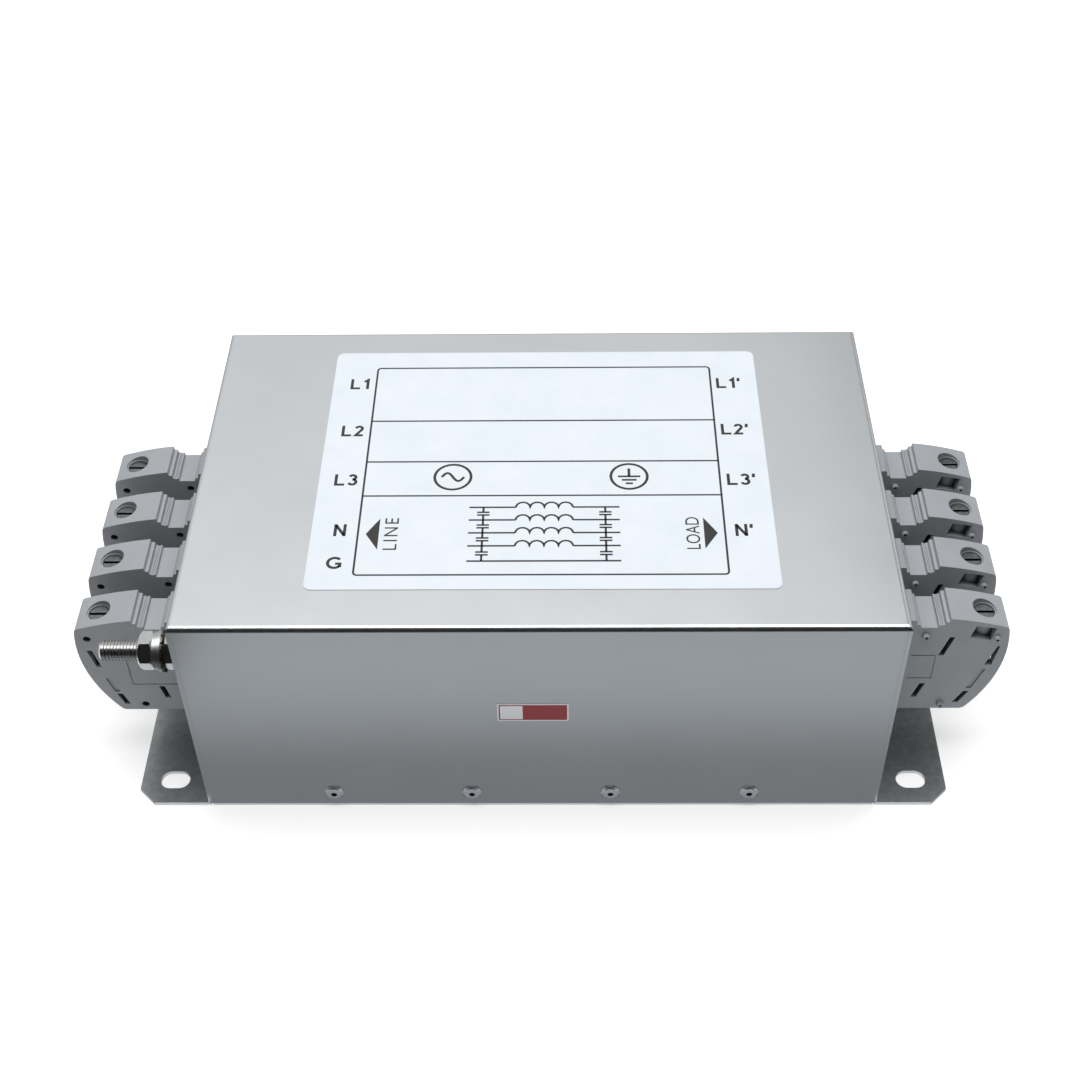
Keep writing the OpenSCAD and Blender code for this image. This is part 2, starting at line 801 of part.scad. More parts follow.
function spoke(r, a) = [0, r * cos(a), r * sin(a)];
function at_x(x, p) = [x, p.y, p.z];

// Path of one winding of the line choke, for the upper rear or the lower rear quarter.
// The bar lies at height 0 of the end point, and the wire rests on it.
function winding_path(bar_y, upper) =
    let (
        edge = upper ? pass_edge : -90 + pass_edge,
        step = pass_step,
        bar_top = block_z + bar_z + bar_t + wire_r + wire_rest - choke_z,
        start = choke_x - half_w + bar_in + wire_bend,
        first = spoke(inner_r, edge)
    ) [
        [start - lead_lap, bar_y, bar_top],
        [start, bar_y, bar_top],
        at_x(start + lead_run, first),
        for (k = [0:passes - 2])
            let (a = edge + k * step, mid = spoke(outer_r, a + step / 2))
            each [
                at_x(face_x, spoke(inner_r, a)), at_x(face_x, mid),
                at_x(-face_x, mid), at_x(-face_x, spoke(inner_r, a + step))
            ],
        at_x(choke_x - wire_rest, spoke(inner_r, edge + (passes - 1) * step))
    ];

// Windings of the front half mirror those of the rear half, and the load choke mirrors the line one.
module winding(side, k) {
    bar_y = abs(1.5 - k) * block_pitch;
    color(ENAMEL) choke_place(side) mirror([side > 0 ? 1 : 0, 0, 0])
        mirror([0, k > 1 ? 1 : 0, 0])
            bent_wire(winding_path(bar_y, k == 0 || k == 3), wire_d, wire_bend);
}

// Cross-shaped spacer that keeps the four windings apart in the bore.
module divider() {
    arm_t = 3;
    r = core_id / 2 - 2 * fit;
    color("#e6e2d6") intersection() {
        union() {
            cube([core_w, 2 * r, arm_t], center = true);
            cube([core_w, arm_t, 2 * r], center = true);
        }
        x_cylinder(2 * r, core_w + 1, true);
    }
}

// Envelope of a core with its clearance.
module core_space(gap) {
    x_cylinder(core_od + 2 * gap, core_w + 2 * gap, true);
}

// Saddle on the tray floor that grips the lowest part of the core between two cheeks.
module cradle() {
    cheek = 3;
    low = sheet_t - choke_z;
    high = 9 - core_r;
    l = core_w + 2 * (cheek + fit);
    color("#33373b") difference() {
        union() {
            translate([-l / 2, -cradle_w / 2, low]) cube([l, cradle_w, high - low]);
            translate([-l / 2, -1.4 * cradle_w, low]) cube([l, 2.8 * cradle_w, 3]);
        }
        core_space(fit);
    }
}

// Rubber pads pressed between the cores and the top of the case.
module hold_down_pads() {
    top = top_inside - choke_z - fit;
    pad_l = core_w - 6;
    color("#26282a") for (side = [LINE, LOAD]) choke_place(side) difference() {
        translate([-pad_l / 2, -cradle_w / 2, core_r - 4]) cube([pad_l, cradle_w, top - core_r + 4]);
        core_space(fit);
    }
}

// Copper sleeves that join the windings of the two chokes.
module splice_sleeves() {
    last = pass_edge + (passes - 1) * pass_step;
    spots = [
        for (a = [last, last - 90], s = [-1, 1])
            let (p = spoke(inner_r, a)) [0, s * p.y + choke_y, p.z + choke_z]
    ];
    color(COPPER) for (p = spots) translate(p) difference() {
        x_cylinder(sleeve_d, sleeve_l, true);
        x_cylinder(wire_d + fit, sleeve_l + 2, true);
    }
}

// ---- capacitor boards ----------------------------------------------------------------------------

// The line board lies along the rear, the load board along the front.
module board_place(side) {
    translate([0, -side * board_y, board_z]) children();
}

function post_spots() = [
    for (x = [-1, 1], y = [-1, 1]) [x * (board_l / 2 - post_in_x), y * (board_w / 2 - post_in_y)]
];

module capacitor_board(side) {
    color(BOARD) board_place(side) difference() {
        translate([-board_l / 2, -board_w / 2, 0]) cube([board_l, board_w, board_t]);
        for (p = post_spots()) translate([p.x, p.y, -1]) cylinder(d = 3.2, h = board_t + 2, $fn = 32);
    }
}

// Snap posts: a foot on the tray, a pillar and a head above the board.
module board_posts() {
    foot = 4.6;
    pillar = 3;
    neck = 1.5;
    catch = 2.3;
    catch_z = post_h + board_t + fit;
    color("#d9d9d2") for (side = [LINE, LOAD]) board_place(side)
        for (p = post_spots()) translate([p.x, p.y, -post_h]) rotate_extrude($fn = 32) polygon([
            [0, 0], [foot, 0], [foot, 1], [pillar, 2], [pillar, post_h], [neck, post_h],
            [neck, catch_z], [catch, catch_z], [neck - 0.3, catch_z + 2], [0, catch_z + 2]
        ]);
}

module box_capacitor(l, w, h) {
    linear_extrude(height = h) polygon(rounded_points(l, w, 1));
}

module x_capacitors(side) {
    color(CAPACITOR) board_place(side) for (i = [-1:1]) translate([i * xcap_pitch, 0, board_t])
        box_capacitor(xcap_l, xcap_w, xcap_h);
}

// Where the small parts stand on a board, beyond the large capacitors.
small_x = xcap_pitch + xcap_l / 2 + 12;

module y_capacitors() {
    color("#3a6fb0") for (side = [LINE, LOAD]) board_place(side) for (s = [-1, 1])
        translate([s * small_x, board_w / 4, board_t]) box_capacitor(17, 7, 13);
}

module bleeder_resistors() {
    d = 5;
    color("#b9a37a") for (side = [LINE, LOAD]) board_place(side) for (s = [-1, 1])
        translate([s * small_x, -board_w / 4, board_t + d / 2]) x_cylinder(d, 15, true);
}

// Wires from the bars down to the board, each on its own level so that none cross.
module board_wires(side) {
    drop = 7;
    row = 5.5;
    color("#202224") for (k = [0:3]) {
        rank = side == LINE ? k : 3 - k;
        level = bar_under - 14 - rank * drop;
        y = -side * (board_edge - 4 - rank * row);
        bent_wire([
            [side * tap_x, phase_y(k), bar_under], [side * tap_x, phase_y(k), level],
            [side * tap_x, y, level], [side * tap_x, y, board_top]
        ], lead_d, 3);
    }
}

case_cover();
base_tray();
tray_rivets();
rating_label();
block_place(LINE, 0) housing();  // line_housing_l1
block_place(LINE, 1) housing();  // line_housing_l2
block_place(LINE, 2) housing();  // line_housing_l3
block_place(LINE, 3) housing();  // line_housing_n
block_place(LOAD, 0) housing();  // load_housing_l1
block_place(LOAD, 1) housing();  // load_housing_l2
block_place(LOAD, 2) housing();  // load_housing_l3
block_place(LOAD, 3) housing();  // load_housing_n
block_place(LINE, 0) clamp_cage();  // line_clamp_l1
block_place(LINE, 1) clamp_cage();  // line_clamp_l2
block_place(LINE, 2) clamp_cage();  // line_clamp_l3
block_place(LINE, 3) clamp_cage();  // line_clamp_n
block_place(LOAD, 0) clamp_cage();  // load_clamp_l1
block_place(LOAD, 1) clamp_cage();  // load_clamp_l2
block_place(LOAD, 2) clamp_cage();  // load_clamp_l3
block_place(LOAD, 3) clamp_cage();  // load_clamp_n
block_place(LINE, 0) current_bar();  // line_bar_l1
block_place(LINE, 1) current_bar();  // line_bar_l2
block_place(LINE, 2) current_bar();  // line_bar_l3
block_place(LINE, 3) current_bar();  // line_bar_n
block_place(LOAD, 0) current_bar();  // load_bar_l1
block_place(LOAD, 1) current_bar();  // load_bar_l2
block_place(LOAD, 2) current_bar();  // load_bar_l3
block_place(LOAD, 3) current_bar();  // load_bar_n
clamp_screws();
ground_stud();
stud_lock_nut();
tooth_washer();
flat_washer();
spring_washer();
ground_nut();
choke_place(LINE) choke_core();  // line_choke_core
choke_place(LOAD) choke_core();  // load_choke_core
winding(LINE, 0);  // line_winding_l1
winding(LINE, 1);  // line_winding_l2
winding(LINE, 2);  // line_winding_l3
winding(LINE, 3);  // line_winding_n
winding(LOAD, 0);  // load_winding_l1
winding(LOAD, 1);  // load_winding_l2
winding(LOAD, 2);  // load_winding_l3
winding(LOAD, 3);  // load_winding_n
choke_place(LINE) divider();  // line_divider
choke_place(LOAD) divider();  // load_divider
choke_place(LINE) cradle();  // line_cradle
choke_place(LOAD) cradle();  // load_cradle
hold_down_pads();
splice_sleeves();
capacitor_board(LINE);  // line_board
capacitor_board(LOAD);  // load_board
board_posts();
x_capacitors(LINE);  // line_x_capacitors
x_capacitors(LOAD);  // load_x_capacitors
y_capacitors();
bleeder_resistors();
board_wires(LINE);  // line_board_wires
board_wires(LOAD);  // load_board_wires
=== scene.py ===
# %% [markdown]
# # A three-phase line filter with neutral
# The folded steel case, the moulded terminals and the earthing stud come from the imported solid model,
# which is loaded first and stays as it is. This script dresses them: each surface gets the finish
# of its real material, the stud gets its rolled thread, and the label gets its printing.

# %% Load the frame
import json
import math
import bmesh
import bpy
from mathutils import Matrix, Vector

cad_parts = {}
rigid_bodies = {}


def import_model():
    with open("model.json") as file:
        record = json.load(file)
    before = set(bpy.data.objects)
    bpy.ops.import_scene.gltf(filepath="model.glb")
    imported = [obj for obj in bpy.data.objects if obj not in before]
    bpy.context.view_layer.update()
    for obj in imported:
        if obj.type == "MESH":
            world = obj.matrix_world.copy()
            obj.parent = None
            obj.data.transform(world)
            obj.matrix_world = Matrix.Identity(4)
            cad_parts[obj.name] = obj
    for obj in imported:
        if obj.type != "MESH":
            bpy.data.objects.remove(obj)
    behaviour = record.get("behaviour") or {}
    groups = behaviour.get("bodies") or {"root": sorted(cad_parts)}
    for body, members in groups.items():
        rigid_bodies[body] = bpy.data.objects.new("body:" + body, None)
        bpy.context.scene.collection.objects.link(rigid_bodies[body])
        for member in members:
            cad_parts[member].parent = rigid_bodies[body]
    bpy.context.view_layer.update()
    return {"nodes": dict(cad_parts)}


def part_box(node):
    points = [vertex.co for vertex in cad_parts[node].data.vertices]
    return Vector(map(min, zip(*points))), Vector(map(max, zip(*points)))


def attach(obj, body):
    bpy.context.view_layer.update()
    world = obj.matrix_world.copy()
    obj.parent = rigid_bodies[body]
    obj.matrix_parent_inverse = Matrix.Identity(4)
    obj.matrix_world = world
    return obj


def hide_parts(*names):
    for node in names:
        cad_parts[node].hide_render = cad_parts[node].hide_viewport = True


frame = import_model()
nodes = frame["nodes"]
MM = 0.001

# %% [markdown]
# ## Helpers for shaders
# Shader nodes are added by one small function, and colours are written as the sRGB hex values
# that a paint chart would give. Cycles works in linear light, so one function converts them.

# %% Shader helpers
def linear(hex_code):
    channels = [int(hex_code[i:i + 2], 16) / 255 for i in (1, 3, 5)]
    return [c / 12.92 if c <= 0.04045 else ((c + 0.055) / 1.055) ** 2.4 for c in channels] + [1.0]


def add(tree, kind, settings=None, **links):
    """Adds a node: settings are its properties or input values, links feed its inputs by name."""
    node = tree.nodes.new(kind)
    for name, value in (settings or {}).items():
        if name in node.inputs:
            node.inputs[name].default_value = value
        else:
            setattr(node, name, value)
    for name, source in links.items():
        tree.links.new(source, node.inputs[name.replace("_", " ")])
    return node


def blank_material(name):
    material = bpy.data.materials.new(name)
    material.use_nodes = True
    material.node_tree.nodes.clear()
    return material, material.node_tree


def paint(material, *names):
    for name in names:
        slots = nodes[name].data.materials
        slots.clear()
        slots.append(material)


print("linear light of mid grey:", round(linear("#808080")[0], 3))

# %% [markdown]
# ## Rounded edges without touching the solids
# Punched sheet and moulded plastic never have knife edges, and the thin light along an edge is what
# makes it look real. The solids may not change, so the shader's Bevel node rounds the normals where
# two faces meet. All patterns use Object coordinates, which are metres here, so a pattern's scale is
# 1000 divided by its size in millimetres. Narrow slots and holes swallow light, and the Ambient
# Occlusion node finds them, so a finish's colour can be darkened there: painted shade.

# %% Pattern helpers
def per_mm(size):
    return 1000.0 / size


def object_space(tree, stretch=(1, 1, 1)):
    where = add(tree, "ShaderNodeTexCoord")
    return add(tree, "ShaderNodeMapping", {"Scale": stretch}, Vector=where.outputs["Object"])


def noise(tree, size, detail=2.0, stretch=(1, 1, 1)):
    space = object_space(tree, stretch)
    settings = {"Scale": per_mm(size), "Detail": detail}
    return add(tree, "ShaderNodeTexNoise", settings, Vector=space.outputs[0]).outputs[0]


def spread(tree, source, low, high):
    settings = {"From Min": 0.3, "From Max": 0.7, "To Min": low, "To Max": high}
    return add(tree, "ShaderNodeMapRange", settings, Value=source).outputs[0]


def rough_normal(tree, height, depth_mm, edge_mm):
    bevel = add(tree, "ShaderNodeBevel", {"Radius": edge_mm * MM, "samples": 6})
    settings = {"Strength": 1.0, "Distance": depth_mm * MM}
    return add(tree, "ShaderNodeBump", settings, Height=height, Normal=bevel.outputs[0]).outputs[0]


def mixed(tree, factor, *colours):
    """A colour between two, each a hex code or the output of another mix."""
    mix = add(tree, "ShaderNodeMix", {"data_type": "RGBA"})
    tree.links.new(factor, mix.inputs[0])
    for socket, colour in zip((mix.inputs[6], mix.inputs[7]), colours):
        if isinstance(colour, str):
            socket.default_value = linear(colour)
        else:
            tree.links.new(colour, socket)
    return mix.outputs[2]


def product(tree, first, second):
    maths = add(tree, "ShaderNodeMath", {"operation": "MULTIPLY", "use_clamp": True})
    tree.links.new(first, maths.inputs[0])
    tree.links.new(second, maths.inputs[1])
    return maths.outputs[0]


def recess_shade(tree, colour, painted_shade, reach_mm, alone=True):
    """A colour darkened with painted shade inside narrow recesses, as far as a reach in millimetres."""
    settings = {"Distance": reach_mm * MM, "samples": 8, "only_local": alone}
    around = add(tree, "ShaderNodeAmbientOcclusion", settings)
    settings = {"From Min": 0.3, "From Max": 0.72, "To Min": 0.0, "To Max": 1.0}
    open_sky = add(tree, "ShaderNodeMapRange", settings, Value=around.outputs["AO"])
    return mixed(tree, open_sky.outputs[0], painted_shade, colour)


print("one millimetre of pattern has scale", per_mm(1))

# %% [markdown]
# ## Satin stainless steel
# The case is cold-rolled stainless sheet with the satin mill finish known as 2B: it mirrors its
# surroundings, but softly. Rolling leaves faint streaks along the sheet and a slight cloudiness. The
# upper faces of the flanges, under the overhanging terminals, are painted darker and mottled: painted
# shade and painted dark reflection. The metal keeps the default IOR, because its colour already is its
# reflectance. Steel, unlike silver, hardly brightens at a glancing angle, and a grey specular tint
# says so. The rivets are plain steel, paler and rougher, so they read as soft domes against the panel.

# %% Satin stainless steel
def floor_side(tree, top_mm):
    """1 on faces that look up from lower than a height in millimetres, 0 elsewhere."""
    place = add(tree, "ShaderNodeSeparateXYZ", Vector=object_space(tree).outputs[0])
    facing = add(tree, "ShaderNodeNewGeometry").outputs["Normal"]
    upward = add(tree, "ShaderNodeSeparateXYZ", Vector=facing).outputs[2]
    settings = {"From Min": top_mm * MM, "From Max": (top_mm + 1) * MM, "To Min": 1.0, "To Max": 0.0}
    low = add(tree, "ShaderNodeMapRange", settings, Value=place.outputs[2]).outputs[0]
    return product(tree, low, upward)


def rolled_steel(name, dark, light, gloss, edge_mm, cloud_mm, flange_shade_colours=None):
    material, tree = blank_material(name)
    streaks = noise(tree, 0.5, 3.0, stretch=(0.02, 1, 1))
    clouds = noise(tree, cloud_mm, 3.0)
    colour = mixed(tree, spread(tree, clouds, 0, 1), dark, light)
    # Upward faces below 1.7 mm, the tops of the flanges, get a mottled darker colour: painted shade and
    # painted dark reflection.
    if flange_shade_colours:
        flange_shade = mixed(tree, spread(tree, noise(tree, 2.5, 5.0), 0, 1), *flange_shade_colours)
        colour = mixed(tree, floor_side(tree, 1.7), colour, flange_shade)
    surface = add(
        tree, "ShaderNodeBsdfPrincipled", {"Metallic": 1.0, "Specular Tint": linear("#8c8c8c")},
        Base_Color=colour,
        Roughness=spread(tree, clouds, gloss - 0.01, gloss + 0.01),
        Normal=rough_normal(tree, streaks, 0.0004, edge_mm),
    )
    end = add(tree, "ShaderNodeOutputMaterial")
    tree.links.new(surface.outputs[0], end.inputs[0])
    return material


# 939698 to #a6a8aa is the flanges' painted shade and painted dark reflection.
case_steel = rolled_steel("satin_stainless_sheet", "#c2c5c7", "#c5c8ca", 0.3, 0.12, 30.0,
                          flange_shade_colours=("#939698", "#a6a8aa"))
paint(case_steel, "case_cover", "base_tray")
rivet_metal = rolled_steel("plain_rivet_steel", "#e2e6eb", "#ebeef2", 0.33, 0.1, 3.0)
paint(rivet_metal, "tray_rivets")
print("case and rivets:", case_steel.name, rivet_metal.name)

# %% [markdown]
# ## Bright plating
# The stud and its nuts are bright nickel plated: nearly a mirror, neutral, with the faint ripple
# that barrel plating leaves on small parts. The washers are stamped, so their faces are a little
# more satin. The toothed washer is phosphated spring steel, dark with a dull glint. The clamp
# screws and cages are dull zinc plated and sit far down in the housings; their colour is darkened there with
# painted shade.

# %% Plated and phosphated steel
def plated(name, dark, light, gloss, edge_mm, painted_shade=None):
    material, tree = blank_material(name)
    ripple = noise(tree, 1.6, 2.0)
    colour = mixed(tree, spread(tree, ripple, 0, 1), dark, light)
    if painted_shade:
        colour = recess_shade(tree, colour, painted_shade, 6.0, alone=False)
    surface = add(
        tree, "ShaderNodeBsdfPrincipled", {"Metallic": 1.0},
        Base_Color=colour,
        Roughness=spread(tree, ripple, gloss - 0.02, gloss + 0.02),
        Normal=rough_normal(tree, ripple, 0.003, edge_mm),
    )
    end = add(tree, "ShaderNodeOutputMaterial")
    tree.links.new(surface.outputs[0], end.inputs[0])
    return material


bright = plated("bright_nickel_plating", "#aeb0b1", "#b9bbbb", 0.25, 0.12)
thread_plating = plated("bright_plated_thread", "#b2b2b1", "#bdbdbb", 0.22, 0.02)
# Its colour is darkened towards #3a3b3c inside the housings' holes: painted shade.
dull = plated("dull_zinc_plating", "#5e5f60", "#747576", 0.42, 0.2, painted_shade="#3a3b3c")
washer_plating = plated("satin_plated_washer", "#9a9c9d", "#a6a8a8", 0.36, 0.08)
spring = plated("phosphated_spring_steel", "#5c5954", "#6b6862", 0.36, 0.1)
paint(bright, "stud_lock_nut", "ground_nut")
paint(washer_plating, "flat_washer", "spring_washer")
paint(spring, "tooth_washer")
phases = ("l1", "l2", "l3", "n")
both = ("line", "load")
paint(dull, "clamp_screws", *[f"{end}_clamp_{p}" for end in both for p in phases])
print("plated pieces:", bright.name, dull.name, spring.name)

# %% [markdown]
# ## Moulded polyamide
# The terminal housings are glass-filled polyamide, moulded in an eroded tool. That leaves an even, very
# fine grain of about a fifth of a millimetre and a soft sheen, and the grey shifts slightly where
# the melt flowed. Polyamide's IOR is 1.53. In narrow slots and holes the grey is darkened with
# painted shade.

# %% Grey polyamide
def moulded(name, dark, light, gloss, painted_shade=None):
    material, tree = blank_material(name)
    grain = noise(tree, 0.22, 2.0)
    flow = noise(tree, 14.0, 2.0)
    colour = mixed(tree, spread(tree, flow, 0, 1), dark, light)
    if painted_shade:
        colour = recess_shade(tree, colour, painted_shade, 4.0)
    surface = add(
        tree, "ShaderNodeBsdfPrincipled", {"IOR": 1.53},
        Base_Color=colour,
        Roughness=spread(tree, grain, gloss - 0.05, gloss + 0.05),
        Normal=rough_normal(tree, grain, 0.006, 0.22),
    )
    end = add(tree, "ShaderNodeOutputMaterial")
    tree.links.new(surface.outputs[0], end.inputs[0])
    return material


# 45474a is the painted shade that the grey turns to inside narrow recesses.
grey = moulded("glass_filled_polyamide", "#a3a7ab", "#a9adb1", 0.48, painted_shade="#45474a")
paint(grey, *[f"{end}_housing_{p}" for end in both for p in phases])
print("housings:", grey.name)

# %% [markdown]
# ## What is inside
# Nothing inside can be seen with the case closed, but the pieces are there, so each gets its real
# finish: enamelled winding wire, sintered ferrite with its coat, green boards, yellow capacitors.

# %% Finishes of the inner pieces
def coated(name, dark, light, gloss, metal=0.0, ior=1.5, size=2.0):
    material, tree = blank_material(name)
    mottle = noise(tree, size, 3.0)
    settings = {"Metallic": metal}
    if not metal:
        settings["IOR"] = ior
    surface = add(
        tree, "ShaderNodeBsdfPrincipled", settings,
        Base_Color=mixed(tree, spread(tree, mottle, 0, 1), dark, light),
        Roughness=spread(tree, mottle, gloss - 0.05, gloss + 0.05),
        Normal=rough_normal(tree, mottle, 0.01, 0.2),
    )
    end = add(tree, "ShaderNodeOutputMaterial")
    tree.links.new(surface.outputs[0], end.inputs[0])
    return material


inner = {
    coated("enamelled_copper_wire", "#7a3418", "#94441f", 0.22, metal=1.0):
        [f"{end}_winding_{p}" for end in both for p in phases],
    coated("tinned_copper", "#b9b4ac", "#c9c4bc", 0.3, metal=1.0):
        [f"{end}_bar_{p}" for end in both for p in phases] + ["splice_sleeves"],
    coated("coated_ferrite", "#2b2e32", "#34383d", 0.42, ior=1.5): [f"{end}_choke_core" for end in both],
    coated("pressed_insulation", "#d8d3c4", "#e4dfd0", 0.6, size=0.8): [f"{end}_divider" for end in both],
    coated("black_polyamide", "#25282b", "#2e3236", 0.5, ior=1.53): [f"{end}_cradle" for end in both],
    coated("pad_rubber", "#1e1f20", "#2a2b2c", 0.8, ior=1.52): ["hold_down_pads"],
    coated("solder_mask", "#1f5a38", "#2a6a44", 0.3, size=6.0): [f"{end}_board" for end in both],
    coated("natural_nylon", "#d6d6ce", "#e2e2da", 0.45, ior=1.53): ["board_posts"],
    coated("yellow_capacitor_case", "#c9a430", "#d8b23c", 0.35): [f"{end}_x_capacitors" for end in both],
    coated("blue_capacitor_case", "#2f62a0", "#3a6fb0", 0.3): ["y_capacitors"],
    coated("resistor_coat", "#a88f66", "#bba47c", 0.5): ["bleeder_resistors"],
    coated("wire_insulation", "#1a1b1d", "#262729", 0.4): [f"{end}_board_wires" for end in both],
}
for finish, names in inner.items():
    paint(finish, *names)
print(len(inner), "inner finishes on", sum(map(len, inner.values())), "pieces")

# %% [markdown]
# ## The label
# A rating label is white polyester film, matte, a fifth of a millimetre thick, with a cold cast. Its
# print is a solid ink layer. The film stays the solid from the model, and the ink is added
# as thin flat pieces that stand two hundredths of a millimetre proud of it.

# %% Label film and inks
film = moulded("white_polyester_film", "#e9f1f8", "#eef5fc", 0.42)
paint(film, "rating_label")


def ink(name, code):
    material, tree = blank_material(name)
    patches = noise(tree, 0.9, 2.0)
    surface = add(
        tree, "ShaderNodeBsdfPrincipled", {"Base Color": linear(code), "IOR": 1.5},
        Roughness=spread(tree, patches, 0.38, 0.5),
    )
    end = add(tree, "ShaderNodeOutputMaterial")
    tree.links.new(surface.outputs[0], end.inputs[0])
    return material


dark_ink = ink("dark_grey_ink", "#111214")
print("label:", film.name, dark_ink.name)

# %% [markdown]
# ## Printing as geometry
# Lines and letters could be a texture, but they must survive an export without one, so they are
# drawn as outlines and given a tiny height. A stroke is a strip around a list of points, with
# mitred corners, and a filled shape is a slab over its outline.

# %% Slabs, strokes and arcs
SHEET_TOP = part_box("rating_label")[1][2]
INK_SUNK = 0.01 * MM
INK_PROUD = 0.02 * MM


def solid_outline(bm, outline):
    """A closed slab over an outline in millimetres, standing on the label."""
    low = [bm.verts.new((x * MM, y * MM, SHEET_TOP - INK_SUNK)) for x, y in outline]
    high = [bm.verts.new((x * MM, y * MM, SHEET_TOP + INK_PROUD)) for x, y in outline]
    bm.faces.new(high)
    bm.faces.new(reversed(low))
    for i in range(len(outline)):
        j = (i + 1) % len(outline)
        bm.faces.new((low[i], low[j], high[j], high[i]))


def stroke(bm, points, width, closed=False):
    """A slab along a line of points, one quad a segment, mitred at the corners."""
    pts = [Vector(p) for p in points]
    n = len(pts)
    sides = []
    for i, p in enumerate(pts):
        before = pts[i - 1] if closed or i else None
        after = pts[(i + 1) % n] if closed or i < n - 1 else None
        d1 = (p - before).normalized() if before is not None else (after - p).normalized()
        d2 = (after - p).normalized() if after is not None else d1
        across = Vector((-(d1 + d2).y, (d1 + d2).x)).normalized()
        half = width / 2 / max(0.35, across.dot(Vector((-d1.y, d1.x))))
        sides.append((p - across * half, p + across * half))
    ends = n if closed else n - 1
    ring = []
    for right, left in sides:
        ring.append([bm.verts.new((q.x * MM, q.y * MM, z)) for q in (right, left)
                     for z in (SHEET_TOP - INK_SUNK, SHEET_TOP + INK_PROUD)])
    for i in range(ends):
        a, b = ring[i], ring[(i + 1) % n]
        for u, v in ((0, 1), (1, 3), (3, 2), (2, 0)):
            bm.faces.new((a[v], a[u], b[u], b[v]))
    if not closed:
        bm.faces.new((ring[0][0], ring[0][1], ring[0][3], ring[0][2]))
        bm.faces.new((ring[-1][2], ring[-1][3], ring[-1][1], ring[-1][0]))


def arc(cx, cy, r, start, end, steps=12):
    angles = [math.radians(start + (end - start) * i / steps) for i in range(steps + 1)]
    return [(cx + r * math.cos(a), cy + r * math.sin(a)) for a in angles]


print("the label's face is at", round(SHEET_TOP / MM, 2), "mm")

# %% [markdown]
# ## Words
# A word starts as a text curve, which knows the shapes of its letters. It is turned into a mesh,
# scaled to its cap height, turned to its place and raised. The curve itself is then removed.

# %% Lettering
def lettering(bm, text, at, cap, turn=0.0, spacing=1.0, stretch=1.0):
    """Text centred on a point, its capitals of the given height in millimetres."""
    curve = bpy.data.curves.new("letters", "FONT")
    curve.body = text
    curve.space_character = spacing
    curve.resolution_u = 6
    holder = bpy.data.objects.new("letters", curve)
    mesh = bpy.data.meshes.new_from_object(holder)
    xs = [v.co.x for v in mesh.vertices]
    ys = [v.co.y for v in mesh.vertices]
    scale = cap / (max(ys) - min(ys))
    middle = Vector(((max(xs) + min(xs)) / 2, (max(ys) + min(ys)) / 2))
    spin = Matrix.Rotation(math.radians(turn), 2)
    part = bmesh.new()
    part.from_mesh(mesh)
    for v in part.verts:
        flat = spin @ Vector(((v.co.x - middle.x) * scale * stretch, (v.co.y - middle.y) * scale))
        v.co = ((at[0] + flat.x) * MM, (at[1] + flat.y) * MM, SHEET_TOP - INK_SUNK)
    bmesh.ops.remove_doubles(part, verts=part.verts, dist=1e-7)
    faces = bmesh.ops.extrude_face_region(part, geom=part.faces[:])["geom"]
    lifted = [g for g in faces if isinstance(g, bmesh.types.BMVert)]
    bmesh.ops.translate(part, verts=lifted, vec=(0, 0, INK_SUNK + INK_PROUD))
    bmesh.ops.recalc_face_normals(part, faces=part.faces[:])
    whole = bpy.data.meshes.new("letters")
    part.to_mesh(whole)
    bm.from_mesh(whole)
    part.free()
    for data in (mesh, whole):
        bpy.data.meshes.remove(data)
    bpy.data.objects.remove(holder)
    bpy.data.curves.remove(curve)


print("words are raised by", round((INK_SUNK + INK_PROUD) / MM, 2), "mm")

# %% [markdown]
# ## From mesh to piece
# Each piece of this scene ends the same way: its normals are made to point outwards, it gets its
# material, and it is told which body it rides on.

# %% Finishing a piece
def finish_piece(name, bm, material, smooth=False):
    bmesh.ops.recalc_face_normals(bm, faces=bm.faces[:])
    mesh = bpy.data.meshes.new(name)
    bm.to_mesh(mesh)
    bm.free()
    for face in mesh.polygons:
        face.use_smooth = smooth
    mesh.materials.append(material)
    piece = bpy.data.objects.new(name, mesh)
    bpy.context.scene.collection.objects.link(piece)
    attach(piece, "root")
    print(f"{name}: {len(mesh.polygons)} faces")
    return piece


print("pieces ride on the body: root")

# %% [markdown]
# ## The printed frame
# A box with rounded corners is split into four rows by three lines. All of it is one stroke
# width, so each line is a single call.

# %% Printed frame
FRAME_LEFT, FRAME_RIGHT, FRAME_LOW, FRAME_HIGH = -69.0, 70.8, -59.6, 61.6
ROWS = (27.5, 2.8, -16.9)
LINE_W = 0.8
CORNER = 1.4
frame_print = bmesh.new()
box_points = (
    arc(FRAME_RIGHT - CORNER, FRAME_HIGH - CORNER, CORNER, 0, 90, 5)
    + arc(FRAME_LEFT + CORNER, FRAME_HIGH - CORNER, CORNER, 90, 180, 5)
    + arc(FRAME_LEFT + CORNER, FRAME_LOW + CORNER, CORNER, 180, 270, 5)
    + arc(FRAME_RIGHT - CORNER, FRAME_LOW + CORNER, CORNER, 270, 360, 5)
)
stroke(frame_print, box_points, LINE_W, closed=True)
for y in ROWS:
    stroke(frame_print, [(FRAME_LEFT, y), (FRAME_RIGHT, y)], LINE_W)
finish_piece("label_frame_print", frame_print, dark_ink)

# %% [markdown]
# ## Terminal marks
# The marks stand outside the frame, roughly level with the terminals that they name. They are set in
# a wide, heavy face. A few strokes give each letter, which keeps the mesh light and gives the even
# weight of a printed mark. Each glyph is its strokes on a cap height of 1, then its width.

